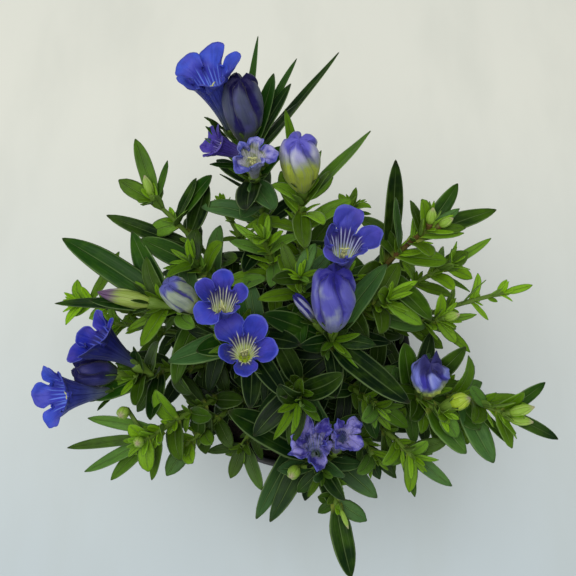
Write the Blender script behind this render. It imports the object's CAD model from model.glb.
"""Looks of a potted autumn gentian: leafy shoots and blue trumpet flowers in a black nursery pot.

The plan and all shape formulas are in millimetres and degrees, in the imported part's own frame. A
piece is scaled to metres when its mesh is made.
"""

import logging
import math
from dataclasses import dataclass, field
from enum import Enum

import bpy
import numpy as np
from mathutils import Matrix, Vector


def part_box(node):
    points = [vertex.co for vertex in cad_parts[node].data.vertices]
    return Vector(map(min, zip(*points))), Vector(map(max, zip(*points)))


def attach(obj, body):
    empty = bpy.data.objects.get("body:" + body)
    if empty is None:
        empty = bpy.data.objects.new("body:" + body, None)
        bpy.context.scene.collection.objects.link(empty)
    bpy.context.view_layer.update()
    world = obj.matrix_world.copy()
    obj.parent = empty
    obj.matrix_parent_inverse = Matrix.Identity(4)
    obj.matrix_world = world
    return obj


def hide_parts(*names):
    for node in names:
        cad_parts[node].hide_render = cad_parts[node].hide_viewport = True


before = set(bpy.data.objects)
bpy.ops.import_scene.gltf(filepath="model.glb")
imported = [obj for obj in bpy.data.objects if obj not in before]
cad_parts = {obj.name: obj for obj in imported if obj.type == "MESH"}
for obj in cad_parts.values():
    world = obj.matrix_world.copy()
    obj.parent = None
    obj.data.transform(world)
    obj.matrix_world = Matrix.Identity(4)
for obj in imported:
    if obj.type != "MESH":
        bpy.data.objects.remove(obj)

Array = np.ndarray

LOG = logging.getLogger("gentian")
UP = np.array([0.0, 0.0, 1.0])
# Metres in a millimetre
MM = 0.001
# Petals, sepals and stamens of one flower
LOBES = 5
# Where on a stem its uppermost ordinary leaf pair stands
LAST_PAIR = 0.97
# Every piece's texture map
SURFACE = "surface"


class Kind(Enum):
    """How far a flower is: it sets the shape of the corolla."""

    OPEN = "open"
    HALF = "half"
    WITHERED = "withered"
    CLOSED = "closed"
    BUD = "bud"


class Slot(Enum):
    """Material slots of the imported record."""

    POT = "pot"
    SOIL = "soil"
    LEAVES = "leaves"
    BLUE = "petal_blue"
    PALE = "petal_pale"
    BUD = "bud"
    STAMENS = "stamens"


@dataclass(frozen=True)
class ShootPlan:
    """One shoot: where its tip stands, its ordinary leaf pairs and the large leaves that show.

    leaf and width are an ordinary leaf's size, turn is where the lowest pair stands round the stem
    and first where it stands along it. young is 0 for old deep green leaves and 1 for fresh yellow
    green ones, and ruddy is how red the stem is. A large leaf is (place on the stem, bearing, pitch,
    length, width).
    """

    name: str
    bearing: float
    reach: float
    height: float
    leaf: float
    width: float
    pairs: int
    turn: float
    young: float
    blades: tuple[tuple[float, ...], ...] = ()
    ruddy: float = 0.0
    first: float = 0.25


@dataclass(frozen=True)
class Limb:
    """Petals beyond the mouth: length, last angle out of the axis, how much it varies, and crumple."""

    length: float = 0.0
    flare: float = 0.0
    uneven: float = 0.0
    crumple: float = 0.0


@dataclass(frozen=True)
class FlowerPlan:
    """One flower: its shoot, where the corolla starts and points, its tube length and mouth radius.

    turn is how far it stands turned about its own axis, and look the name of its finish.
    """

    name: str
    kind: Kind
    shoot: str
    base: tuple[float, float, float]
    bearing: float
    pitch: float
    length: float
    radius: float
    turn: float
    look: str
    limb: Limb = Limb()

    widest_cup = 3.2

    def axis(self) -> "Axis":
        """The flower's own axes."""
        return Axis.of(self.base, self.bearing, self.pitch)

    def cup(self) -> float:
        """The radius of the calyx cup that holds the tube."""
        return min(self.widest_cup, 0.62 * self.radius + 0.6)

    def petal_slot(self) -> Slot:
        """The slot of its petals."""
        return Slot.PALE if self.look in PALE_LOOKS else Slot.BLUE


SHOOTS = (
    ShootPlan("back_tall", 112, 68, 218, 30, 9, 8, 20, 0.15, (
        (1, 47, 17, 67, 7), (1, 83, 29, 57, 5), (0.98, 152, 40, 27, 4), (0.98, 142, 41, 29, 3),
        (1, 169, 37, 23, 5), (0.97, -165, 29, 20, 4), (0.9, -92, 36, 32, 12),
        (0.9, -67, 29, 30, 12), (1, 65, 41, 42, 8), (1, 52, 33, 41, 9), (1, 39, 28, 38, 9),
        (1, 58, 30, 52, 4), (0.8, 165, 39, 23, 3))),
    ShootPlan("back_bud", 89, 50, 208, 30, 9, 8, 70, 0.5, (
        (0.97, 32, 40, 47, 10), (0.92, 28, 58, 27, 8), (0.9, -89, 42, 45, 9),
        (0.95, 62, 48, 28, 4), (0.9, 104, 49, 50, 6))),
    ShootPlan("mid_right_back", 30, 22, 200, 30, 9, 7, 10, 0.25),
    ShootPlan("mid_right_front", -51, 23, 196, 34, 9, 7, 50, 0.1, (
        (0.95, -46, 20, 49, 13), (0.9, 48, 31, 45, 11), (0.92, 169, 33, 37, 11),
        (0.9, 71, 34, 35, 4))),
    ShootPlan("mid_left", -145, 34, 206, 30, 9, 8, 40, 0.15, (
        (0.82, -160, 8, 39, 14), (0.85, -157, 21, 26, 13), (0.9, -58, 15, 37, 10),
        (0.8, -90, 5, 34, 10))),
    ShootPlan("left_bud", -179, 64, 198, 34, 9, 7, 15, 0.3, (
        (0.97, 149, 11, 58, 13), (0.97, -180, 12, 35, 8), (0.93, 179, 2, 55, 6),
        (0.97, 117, 5, 41, 12), (0.9, -174, 10, 20, 5))),
    ShootPlan("far_left", -159, 85, 178, 24, 9, 8, 60, 0.3, (
        (0.95, -81, 47, 28, 9), (0.92, 48, 60, 25, 9), (0.9, -149, 16, 30, 11),
        (0.85, -91, 26, 29, 10), (0.97, 67, 74, 24, 8))),
    ShootPlan("right_half_open", -35, 70, 178, 30, 9, 7, 30, 0.25, (
        (0.95, 39, 43, 35, 9), (0.93, 112, 54, 31, 11), (0.97, -174, 39, 21, 9)), 0.6),
    ShootPlan("right_bud", -37, 82, 186, 20, 9, 6, 20, 0.35, (
        (0.9, -49, -19, 29, 13),)),
    ShootPlan("front_withered", -82, 74, 164, 28, 9, 8, 25, 0.15, (
        (0.9, 158, 33, 54, 15), (0.95, 117, 57, 52, 7), (0.6, -120, 4, 54, 10),
        (0.7, -117, -2, 47, 10), (0.9, -62, 34, 28, 10), (0.8, -41, 3, 38, 11),
        (0.95, 98, 61, 43, 6), (0.85, -78, 3, 25, 8), (0.9, -45, 58, 28, 8))),
    ShootPlan("lower_left", -139, 95, 184, 20, 9, 9, 30, 0.45, (
        (0.96, -173, 0, 37, 5), (0.93, -155, -16, 38, 6), (0.9, -138, -20, 33, 7),
        (0.9, -101, -28, 24, 6), (0.9, 171, 8, 33, 6))),
    ShootPlan("lower_left_front", -132, 82, 164, 18, 8, 7, 10, 0.5, (
        (0.95, -125, -6, 20, 9), (0.9, 81, 43, 14, 9))),
    ShootPlan("far_right", -28, 105, 186, 26, 9, 8, 50, 0.35, (
        (0.99, 33, 11, 24, 7), (0.99, -25, -7, 28, 6), (0.8, -66, -3, 33, 12),
        (0.75, -58, 15, 22, 12), (0.85, -50, -1, 27, 5), (0.92, 139, 39, 15, 6))),
    ShootPlan("upper_right", 28, 67, 212, 28, 9, 8, 45, 0.4, (
        (0.7, 90, 52, 53, 9), (0.8, 119, 68, 35, 7), (0.97, 53, 17, 27, 8), (0.9, 21, 0, 43, 10),
        (0.97, 29, 17, 19, 5), (0.65, -59, 24, 41, 12), (0.95, 119, 40, 17, 7),
        (0.97, 2, 5, 19, 6)), 0.9),
    ShootPlan("right_mid", 19, 79, 182, 24, 7, 8, 20, 0.7, (
        (0.9, 30, 8, 34, 5), (0.9, -32, 1, 20, 5), (0.95, 27, 24, 15, 9))),
    ShootPlan("upper_left", 143, 91, 196, 20, 9, 6, 45, 0.4, (
        (0.98, 109, 19, 33, 8), (0.98, 152, 14, 21, 9), (0.75, 59, 47, 31, 12),
        (0.85, 33, 43, 33, 9), (0.85, 46, 48, 27, 7), (0.65, 166, 19, 51, 9), (0.98, 75, 13, 22, 4))),
    ShootPlan("back_left_low", 124, 70, 186, 14, 4, 7, 10, 0.85),
    ShootPlan("left_low", 176, 110, 178, 20, 6, 7, 0, 0.6, ((0.95, 57, 20, 30, 6),)),
    ShootPlan("left_mid", -178, 91, 176, 22, 6, 7, 30, 0.5),
    ShootPlan("front_left_low", -116, 66, 150, 16, 5, 6, 45, 0.6, (
        (0.98, -168, 8, 18, 5), (0.98, -110, -5, 17, 7), (0.95, -69, -6, 25, 7))),
    ShootPlan("front_bottom", -79, 90, 160, 14, 6, 4, 0, 0.35, (
        (0.98, -78, -16, 35, 11), (0.97, -31, -4, 17, 8), (0.97, -148, 5, 10, 5),
        (0.95, 179, 24, 9, 6))),
    ShootPlan("lower_right", -52, 85, 172, 24, 7, 8, 40, 0.45, (
        (0.9, -39, -4, 30, 7), (0.9, -75, -14, 25, 5), (0.95, 12, 17, 20, 7))),
    ShootPlan("lower_right_low", -62, 74, 164, 24, 7, 7, 20, 0.4, (
        (0.9, -68, -2, 18, 7), (0.9, -47, -7, 22, 6))),
    ShootPlan("right_fine", 8, 104, 172, 16, 4, 5, 30, 0.9, (
        (1, 13, 8, 15, 4), (0.8, 30, 70, 24, 4), (0.92, -31, 10, 6, 3)), first=0.45),
    ShootPlan("right_mid_low", -1, 70, 176, 22, 7, 8, 60, 0.75, (
        (0.95, 7, 6, 21, 4), (0.95, -43, -5, 23, 6))),
    ShootPlan("centre", 99, 3, 222, 24, 7, 8, 45, 0.3),
    ShootPlan("centre_back", 120, 34, 204, 26, 8, 8, 20, 0.45),
    ShootPlan("back_right_low", 66, 67, 176, 20, 5, 7, 30, 0.8, (
        (0.95, 72, 26, 14, 4), (0.95, -8, 10, 12, 3))),
    ShootPlan("left_upper_mid", 158, 56, 196, 28, 9, 8, 70, 0.3, (
        (0.9, 160, 24, 33, 11),)),
    ShootPlan("right_centre", 1, 41, 198, 28, 9, 8, 15, 0.4),
    ShootPlan("front_centre", -91, 47, 200, 30, 10, 7, 55, 0.1),
    ShootPlan("front_right_mid", -54, 58, 188, 26, 8, 7, 35, 0.2),
)

FLOWERS = (
    FlowerPlan("back_open", Kind.OPEN, "back_tall", (-33, 76, 225), 140, 74, 30, 7.8, 40,
               "azure", Limb(10.5, 62, 30, 1.8)),
    FlowerPlan("back_closed", Kind.CLOSED, "back_tall", (-25, 69, 226), 95, 70, 35, 9, 0, "indigo"),
    FlowerPlan("back_side", Kind.HALF, "back_tall", (-22, 62, 222), 178, 35, 18, 4.5, 54,
               "plum", Limb(6.5, 50, 25, 0.9)),
    FlowerPlan("back_pale", Kind.HALF, "back_tall", (-21, 53, 222), -95, 84, 20, 5.6, 20,
               "faded", Limb(5.2, 50, 60, 2.6)),
    FlowerPlan("back_lilac", Kind.CLOSED, "back_bud", (1, 50, 214), 102, 71, 32, 9, 15, "lilac"),
    FlowerPlan("right_upright", Kind.HALF, "mid_right_back", (18, 8, 206), 90, 86, 33, 7, -16,
               "violet", Limb(9.8, 30, 38, 2.2)),
    FlowerPlan("right_barrel", Kind.CLOSED, "mid_right_front", (14, -15, 204), 91, 62, 35, 9.6, 25,
               "violet_barrel", Limb(crumple=0.35)),
    FlowerPlan("middle_withered", Kind.CLOSED, "mid_right_front", (7, -12, 204), 141, 50, 20, 2.6, 0,
               "striped"),
    FlowerPlan("centre_upper", Kind.OPEN, "mid_left", (-35, -20, 214), 22, 83, 36, 5.7, 60,
               "ultramarine", Limb(7.6, 66, 42, 0.9)),
    FlowerPlan("centre_lower", Kind.OPEN, "mid_left", (-25, -29, 202), -70, 81, 36, 6, 68,
               "ultramarine", Limb(10.2, 68, 42, 1.0)),
    FlowerPlan("left_pale", Kind.CLOSED, "left_bud", (-47, -8, 208), 146, 52, 22, 6.5, 40, "grey_green"),
    FlowerPlan("left_green", Kind.BUD, "left_bud", (-68, -2, 202), 171, 9, 25, 4, 0, "green"),
    FlowerPlan("left_deep", Kind.OPEN, "far_left", (-76, -27, 187), 155, 42, 21, 8.5, -10,
               "deep", Limb(8.0, 42, 26, 0.9)),
    FlowerPlan("left_dark", Kind.CLOSED, "far_left", (-86, -30, 182), -178, 38, 22, 7, 10,
               "deep_barrel"),
    FlowerPlan("left_outer", Kind.OPEN, "far_left", (-89, -37, 176), -160, 47, 27, 8, 8,
               "azure", Limb(8.4, 50, 32, 1.0)),
    FlowerPlan("right_ragged", Kind.CLOSED, "right_half_open", (59, -39, 182), 96, 61, 20, 8.3, 0,
               "ragged", Limb(crumple=1.6)),
    FlowerPlan("right_green", Kind.BUD, "right_bud", (68, -46, 190), 10, 45, 10, 3.8, 0, "bright"),
    FlowerPlan("front_withered", Kind.WITHERED, "front_withered", (7, -68, 168), 95, 80, 22, 6, 20,
               "lavender", Limb(8.5, 42, 85, 4.0)),
    FlowerPlan("front_small", Kind.WITHERED, "front_withered", (16, -64, 173), 60, 76, 18, 4.2, 0,
               "lavender", Limb(5.6, 28, 80, 3.2)),
)

# Small round buds, each from its shoot, base, bearing, pitch, length and radius
SMALL_BUDS = tuple(
    FlowerPlan("small", Kind.BUD, shoot, base, bearing, pitch, length, radius, 0, "green")
    for shoot, base, bearing, pitch, length, radius in (
        ("lower_left", (-79, -49, 190), -100, 60, 7, 2.8),
        ("lower_left", (-72, -62, 187), -90, 70, 6, 2.4),
        ("front_withered", (-2, -72, 168), -120, 55, 9, 3),
        ("far_right", (94, -50, 190), 10, 25, 11, 2.6),
        ("far_right", (95, -52, 186), -12, 15, 10, 2.4),
        ("upper_right", (59, 32, 215), 80, 50, 8, 2.4),
        ("upper_right", (64, 32, 213), 20, 30, 7, 2.2),
        ("right_mid_low", (71, -1, 178), 0, 40, 8, 2.4),
        ("upper_left", (-73, 56, 198), 110, 35, 10, 2.3),
        ("front_bottom", (19, -90, 162), -70, 10, 9, 1.2),
    )
)


class Draw:
    """Repeatable draws between 0 and 1 from a linear congruence."""

    factor = 1664525
    step = 1013904223
    span = 2 ** 32

    def __init__(self, seed: int) -> None:
        """Starts the row of draws at seed."""
        self.state = seed

    def __call__(self) -> float:
        """The next draw."""
        self.state = (self.state * self.factor + self.step) % self.span
        return self.state / self.span

    def near(self, centre: float, spread: float) -> float:
        """A draw within spread of centre."""
        return centre + (2 * self() - 1) * spread


def unit(vectors: Array) -> Array:
    """Vectors at length 1."""
    return vectors / np.linalg.norm(vectors, axis=-1, keepdims=True)


def heading(bearing: float, pitch: float) -> Array:
    """The unit vector at a bearing from +X and a pitch above level, in degrees."""
    b, p = math.radians(bearing), math.radians(pitch)
    return np.array([math.cos(b) * math.cos(p), math.sin(b) * math.cos(p), math.sin(p)])


def smooth(values: Array, low: float, high: float) -> Array:
    """3t^2 - 2t^3 of how far values lie from low to high."""
    t = np.clip((values - low) / (high - low), 0, 1)
    return t * t * (3 - 2 * t)


def quadratic(start: Array, middle: Array, end: Array, t: Array) -> Array:
    """The curve (1-t)^2 start + 2t(1-t) middle + t^2 end."""
    return (1 - t) ** 2 * start + 2 * t * (1 - t) * middle + t * t * end


def quadratic_run(start: Array, middle: Array, end: Array, t: Array) -> Array:
    """Its direction: (1-t)(middle - start) + t (end - middle), at length 1."""
    return unit((1 - t) * (middle - start) + t * (end - middle))


def grid(along: Array, around: Array) -> Array:
    """Map places (rings, places, 2): x is the ring's place along and y the place around."""
    return np.stack(np.meshgrid(along, around, indexing="ij"), -1)


def ripples(a: Array, b: Array, draw: Draw, waves: int, fine: float) -> Array:
    """Mean of sine waves sin(k a + m b + phase), with k, m and the phase drawn for each.

    Args:
        a: the first place.
        b: the second place.
        draw: where k, m and the phase come from.
        waves: how many waves.
        fine: the largest k and m.

    Returns:
        Values between -1 and 1.
    """
    total = np.zeros(np.broadcast(a, b).shape)
    for _ in range(waves):
        k, m, phase = draw.near(0, fine), draw.near(0, fine), draw.near(0, math.pi)
        total += np.sin(k * a + m * b + phase)
    return total / waves


@dataclass
class Skin:
    """Closed tubes: points (tubes, rings, places, 3), corner texture places (rings, places + 1, 2).

    Each end closes on a pole. marks are numbers that a finish reads by name, for the whole skin or
    for each point.
    """

    points: Array
    places: Array
    marks: dict[str, Array] = field(default_factory=dict)
    poles: Array | None = None


def put(name: str, data: bpy.types.ID) -> bpy.types.Object:
    """A new object of the scene that shows a mesh, a camera or a light."""
    made = bpy.data.objects.new(name, data)
    bpy.context.scene.collection.objects.link(made)
    return made


class Piece:
    """A visual piece: closed skins gathered into one mesh that rides on the root body."""

    def __init__(self, name: str) -> None:
        """Starts an empty piece."""
        self.name = name
        self.points: list[Array] = []
        self.faces: dict[int, list[Array]] = {3: [], 4: []}
        self.corners: dict[int, list[Array]] = {3: [], 4: []}
        self.marks: dict[str, list[Array]] = {}
        self.count = 0

    def add(self, skin: Skin) -> None:
        """Adds tubes of quads with a fan of triangles at each pole, all facing out.

        Args:
            skin: the tubes. One whose signed volume is negative gets its faces turned round.
        """
        tubes, rings, places, _ = skin.points.shape
        poles = skin.poles
        if poles is None:
            poles = skin.points[:, [0, -1]].mean(axis=2)
        ring = np.arange(rings * places).reshape(rings, places)
        ahead = np.roll(ring, -1, axis=1)
        quads = np.stack([ring[:-1], ahead[:-1], ahead[1:], ring[1:]], -1).reshape(-1, 4)
        first = np.full(places, rings * places)
        fans = np.concatenate([np.stack([first, ahead[0], ring[0]], -1),
                               np.stack([first + 1, ring[-1], ahead[-1]], -1)])
        uv = np.broadcast_to(skin.places, (rings, places + 1, 2))
        near, far = uv[:, :-1], uv[:, 1:]
        middle = (near + far) / 2
        quad_uv = np.stack([near[:-1], far[:-1], far[1:], near[1:]], 2).reshape(-1, 4, 2)
        fan_uv = np.concatenate([np.stack([middle[0], far[0], near[0]], 1),
                                 np.stack([middle[-1], near[-1], far[-1]], 1)])
        points = np.concatenate([skin.points.reshape(tubes, -1, 3), poles], axis=1)
        flip = self._volumes(points, quads, fans) < 0
        starts = self.count + np.arange(tubes) * points.shape[1]
        for size, faces, corners in ((4, quads, quad_uv), (3, fans, fan_uv)):
            laid = faces[None] + starts[:, None, None]
            laid[flip] = laid[flip][:, :, ::-1]
            seen = np.repeat(corners[None], tubes, 0)
            seen[flip] = seen[flip][:, :, ::-1]
            self.faces[size].append(laid.reshape(-1, size))
            self.corners[size].append(seen.reshape(-1, 2))
        self.points.append(points.reshape(-1, 3))
        self._keep_marks(skin.marks, tubes, rings, places)
        self.count += tubes * points.shape[1]

    def _keep_marks(self, marks: dict[str, Array], tubes: int, rings: int, places: int) -> None:
        """Stores every mark at the points and, as the end rings' mean, at the poles."""
        total = tubes * (rings * places + 2)
        for name in set(self.marks) | set(marks):
            value = np.broadcast_to(marks.get(name, 0.0), (tubes, rings, places))
            ends = value[:, [0, -1]].mean(axis=2)
            flat = np.concatenate([value.reshape(tubes, -1), ends], axis=1).reshape(total)
            self.marks.setdefault(name, [np.zeros(self.count)] if self.count else []).append(flat)

    @staticmethod
    def _volumes(points: Array, quads: Array, fans: Array) -> Array:
        """Six times the volume of each tube, a . (b x c) over its triangles: below 0 when inside out."""
        triangles = np.concatenate([quads[:, [0, 1, 2]], quads[:, [0, 2, 3]], fans])
        centred = points - points.mean(axis=1, keepdims=True)
        a, b, c = (centred[:, triangles[:, i]] for i in range(3))
        return np.einsum("tfi,tfi->t", a, np.cross(b, c))

    def finish(self, finish: "Finish", slot: Slot, *nodes: str) -> bpy.types.Object:
        """Writes the mesh, dresses it and ties it to the root body.

        Args:
            finish: what the surface is made of.
            slot: the record's material slot.
            nodes: CAD nodes that this piece stands for.

        Returns:
            The new object.
        """
        mesh = bpy.data.meshes.new(self.name)
        points = np.concatenate(self.points) * MM
        mesh.vertices.add(len(points))
        mesh.vertices.foreach_set("co", points.ravel())
        quads, fans = (np.concatenate(self.faces[size]) for size in (4, 3))
        loops = np.concatenate([quads.ravel(), fans.ravel()])
        mesh.loops.add(len(loops))
        mesh.loops.foreach_set("vertex_index", loops)
        starts = np.concatenate([np.arange(len(quads)) * 4, 4 * len(quads) + np.arange(len(fans)) * 3])
        mesh.polygons.add(len(starts))
        mesh.polygons.foreach_set("loop_start", starts)
        mesh.polygons.foreach_set("use_smooth", np.ones(len(starts), bool))
        layer = mesh.uv_layers.new(name=SURFACE)
        corners = np.concatenate([np.concatenate(self.corners[size]) for size in (4, 3)])
        layer.data.foreach_set("uv", corners.ravel())
        for name, values in self.marks.items():
            mark = mesh.attributes.new(name, "FLOAT", "POINT")
            mark.data.foreach_set("value", np.concatenate(values))
        mesh.update(calc_edges=True)
        mesh.validate()
        piece = put(self.name, mesh)
        mesh.materials.append(finish.material())
        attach(piece, "root")
        if nodes:
            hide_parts(*nodes)
        LOG.info("%s: %d faces", self.name, len(mesh.polygons))
        return piece


class Wire:
    """A socket on which Python arithmetic adds Math nodes."""

    def __init__(self, board: "Board", socket: bpy.types.NodeSocket) -> None:
        """Wraps an output socket of a board's node tree."""
        self.board = board
        self.socket = socket

    def math(self, operation: str, *others: "Wire | float", clamp: bool = False) -> "Wire":
        """A Math node on this socket.

        Args:
            operation: the node's operation.
            others: its further values.
            clamp: whether the result is kept between 0 and 1.

        Returns:
            The result's socket.
        """
        values = dict(enumerate((self, *others)))
        return self.board.wire("ShaderNodeMath", {"operation": operation, "use_clamp": clamp}, values)

    def __add__(self, other: "Wire | float") -> "Wire":
        """Sum."""
        return self.math("ADD", other)

    __radd__ = __add__

    def __mul__(self, other: "Wire | float") -> "Wire":
        """Product."""
        return self.math("MULTIPLY", other)

    __rmul__ = __mul__

    def __sub__(self, other: "Wire | float") -> "Wire":
        """Difference."""
        return self.math("SUBTRACT", other)

    def __rsub__(self, other: float) -> "Wire":
        """Difference from a number."""
        return self.board.wire("ShaderNodeMath", {"operation": "SUBTRACT"}, {0: other, 1: self})

    def __truediv__(self, other: "Wire | float") -> "Wire":
        """Quotient."""
        return self.math("DIVIDE", other)

    def __abs__(self) -> "Wire":
        """Absolute value."""
        return self.math("ABSOLUTE")

    def rise(self, low: float, high: float) -> "Wire":
        """0 below low and 1 above high, with a smooth step between; low may lie above high."""
        inputs = {"Value": self, "From Min": low, "From Max": high}
        return self.board.wire("ShaderNodeMapRange", {"interpolation_type": "SMOOTHSTEP"}, inputs)

    def peak(self, centre: float, half: float) -> "Wire":
        """1 at centre, falling smoothly to 0 at half the way to each side."""
        return abs(self - centre).rise(half, 0.0)


Colour = "Wire | str"


def petal_side(x: Wire) -> Wire:
    """0 in the middle of each petal and 1 at its edges, where x runs once round the flower."""
    return abs((x * float(LOBES)).math("FRACT") - 0.5) * 2.0


def colour(code: str) -> tuple[float, float, float, float]:
    """Linear colour of a screen colour c: c/12.92 or, when light, ((c + 0.055)/1.055)^2.4."""
    parts = [int(code[i:i + 2], 16) / 255 for i in (1, 3, 5)]
    linear = [c / 12.92 if c <= 0.04045 else ((c + 0.055) / 1.055) ** 2.4 for c in parts]
    return (*linear, 1.0)


class Board:
    """The node tree of one material."""

    noise_roughness = 0.55

    def __init__(self, name: str) -> None:
        """Starts a material with an empty tree."""
        self.material = bpy.data.materials.new(name)
        self.material.use_nodes = True
        self.tree = self.material.node_tree
        self.tree.nodes.clear()

    def node(self, kind: str, settings: dict | None = None,
             inputs: dict | None = None) -> bpy.types.Node:
        """Adds a node.

        Args:
            kind: the node's type.
            settings: its properties, and "stops" for a ramp as (place, colour code) pairs.
            inputs: values or wires by socket name or number.

        Returns:
            The node.
        """
        made = self.tree.nodes.new(kind)
        for name, value in (settings or {}).items():
            if name == "stops":
                self._lay_stops(made.color_ramp, value)
            else:
                setattr(made, name, value)
        for key, value in (inputs or {}).items():
            if isinstance(value, Wire):
                self.tree.links.new(value.socket, made.inputs[key])
            else:
                made.inputs[key].default_value = value
        return made

    @staticmethod
    def _lay_stops(ramp: bpy.types.ColorRamp, stops: tuple[tuple[float, str], ...]) -> None:
        """Gives a ramp its stops, from places and colour codes."""
        while len(ramp.elements) < len(stops):
            ramp.elements.new(1.0)
        for element, (place, code) in zip(ramp.elements, stops):
            element.position, element.color = place, colour(code)

    def wire(self, kind: str, settings: dict | None = None, inputs: dict | None = None,
             output: str | int = 0) -> Wire:
        """Adds a node and gives one of its outputs.

        Args:
            kind: the node's type.
            settings: its properties.
            inputs: its values or wires.
            output: the name or number of the output.

        Returns:
            The output as a wire.
        """
        return Wire(self, self.node(kind, settings, inputs).outputs[output])

    def mark(self, name: str) -> Wire:
        """A number that the mesh carries at its points."""
        return self.wire("ShaderNodeAttribute", {"attribute_name": name}, output="Fac")

    def split(self, vector: Wire, count: int = 3) -> tuple[Wire, ...]:
        """The first numbers of a vector."""
        parts = self.node("ShaderNodeSeparateXYZ", inputs={0: vector})
        return tuple(Wire(self, parts.outputs[i]) for i in range(count))

    def surface(self) -> tuple[Wire, ...]:
        """The two texture places of the piece's own map."""
        return self.split(self.wire("ShaderNodeUVMap", {"uv_map": SURFACE}), 2)

    def spot(self) -> Wire:
        """Where the point is in the part's frame, in metres, as a vector."""
        return self.wire("ShaderNodeTexCoord", output="Object")

    def mix(self, share: "Wire | float", below: Colour, above: Colour, how: str = "MIX") -> Wire:
        """A colour that goes from below to above.

        Args:
            share: how much of above shows.
            below: the first colour, as a wire or a code.
            above: the second colour.
            how: the blend.

        Returns:
            The mixed colour.
        """
        below, above = (colour(c) if isinstance(c, str) else c for c in (below, above))
        settings = {"data_type": "RGBA", "blend_type": how, "clamp_factor": True}
        return self.wire("ShaderNodeMix", settings, {0: share, 6: below, 7: above}, 2)

    def noise(self, scale: float, detail: float = 2.0, vector: Wire | None = None) -> Wire:
        """Noise between 0 and 1, in object space unless a vector is given.

        Args:
            scale: how fine it is, per metre in object space.
            detail: how many octaves.
            vector: where it is read.

        Returns:
            The noise.
        """
        inputs = {"Vector": vector or self.spot(), "Scale": scale, "Detail": detail,
                  "Roughness": self.noise_roughness}
        return self.wire("ShaderNodeTexNoise", None, inputs)

    def stretched(self, x: Wire, y: Wire, across: float, along: float, turn: float = 0.0) -> Wire:
        """Noise on the piece's map: across cells in the width of x, and along cells in that of y."""
        vector = self.wire("ShaderNodeCombineXYZ", None, {0: x * across, 1: y * along, 2: turn})
        return self.noise(1.0, 2.0, vector)

    def bump(self, height: Wire, depth: float, strength: float = 1.0) -> Wire:
        """The normal of a relief of that depth in metres."""
        inputs = {"Height": height, "Distance": depth, "Strength": strength}
        return self.wire("ShaderNodeBump", None, inputs)

    def close(self, **sockets: "Wire | float | tuple") -> bpy.types.Material:
        """Ends the tree in a Principled shader.

        Args:
            sockets: values or wires by socket name, with underscores for blanks.

        Returns:
            The material.
        """
        inputs = {name.replace("_", " "): value for name, value in sockets.items()}
        shader = self.wire("ShaderNodeBsdfPrincipled", None, inputs)
        self.node("ShaderNodeOutputMaterial", None, {0: shader})
        return self.material


class Finish:
    """What a surface is made of. Each kind builds its material once."""

    def material(self) -> bpy.types.Material:
        """The finished material, made at the first call."""
        name = self.name
        return bpy.data.materials.get(name) or self.build(Board(name))

    def build(self, board: Board) -> bpy.types.Material:
        """Lays the nodes; each finish has its own.

        Args:
            board: the empty tree.

        Returns:
            The material.
        """
        raise NotImplementedError


@dataclass(frozen=True)
class LeafFinish(Finish):
    """Leaf skin: deep green above with a pale midrib and margin, paler below, fresher where young.

    Grown leaves go from old to grown by their tone and their distance from the pot's axis, and some
    in front have a greyish bloom. Low down in the middle of the plant all leaves are darker.
    The map's x runs from the leaf's root to its tip and y across it. Marks: young, tone, under.
    """

    name: str = "leaf_skin"
    old: str = "#051a04"
    grown: str = "#204a07"
    bloom: str = "#4a7040"
    fresh: str = "#8abe1c"
    below: str = "#729242"
    vein: str = "#84a062"
    root: str = "#8a983c"
    tip: str = "#2c2c1c"

    def build(self, board: Board) -> bpy.types.Material:
        """Lays the nodes."""
        x, y = board.surface()
        young, tone, under = board.mark("young"), board.mark("tone"), board.mark("under")
        side = abs(y - 0.5) * 2.0
        cells = board.stretched(x, y, 9.0, 14.0)
        patches = board.noise(90.0, 3.0)
        east, north, height = board.split(board.spot())
        reach = (east * east + north * north).math("SQRT")
        lightness = tone.rise(0.2, 1.0) * 0.8 + reach.rise(0.05, 0.1) * 0.3
        base = board.mix(lightness + patches * 0.5 - 0.3, self.old, self.grown)
        clouded = (tone + north.rise(-0.045, -0.075) * 0.35).rise(0.84, 0.97)
        misty = board.mix(clouded * 0.55, base, self.bloom)
        green = board.mix(young.rise(0.06, 0.92) + (patches - 0.5) * 0.3, misty, self.fresh)
        shade = board.mix(cells.rise(0.35, 0.7) * 0.25, green, self.old)
        pale = board.mix(under * 0.8, shade, self.below)
        deep = height.rise(0.208, 0.15) * reach.rise(0.105, 0.06)
        sunk = board.mix(deep * 0.85, pale, self.old)
        midrib = side.rise(0.1, 0.02) * x.rise(1.0, 0.8)
        nerves = (side - x * 0.1).peak(0.45, 0.06) * 0.05 * x.rise(0.85, 0.5)
        margin = side.rise(0.84, 0.93) * 0.4
        veins = midrib * 0.22 + nerves
        veined = board.mix(veins.math("MAXIMUM", margin), sunk, self.vein)
        rooted = board.mix(x.rise(0.14, 0.0) * 0.7, veined, self.root)
        tipped = board.mix(x.rise(0.93, 1.0) * 0.6, rooted, self.tip)
        relief = cells * 0.35 - midrib * 0.9 - nerves * 0.8
        rough = 0.38 + patches * 0.16 + under * 0.2
        return board.close(Base_Color=tipped, Roughness=rough, Normal=board.bump(relief, 0.0005),
                           Specular_IOR_Level=0.12)


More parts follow.
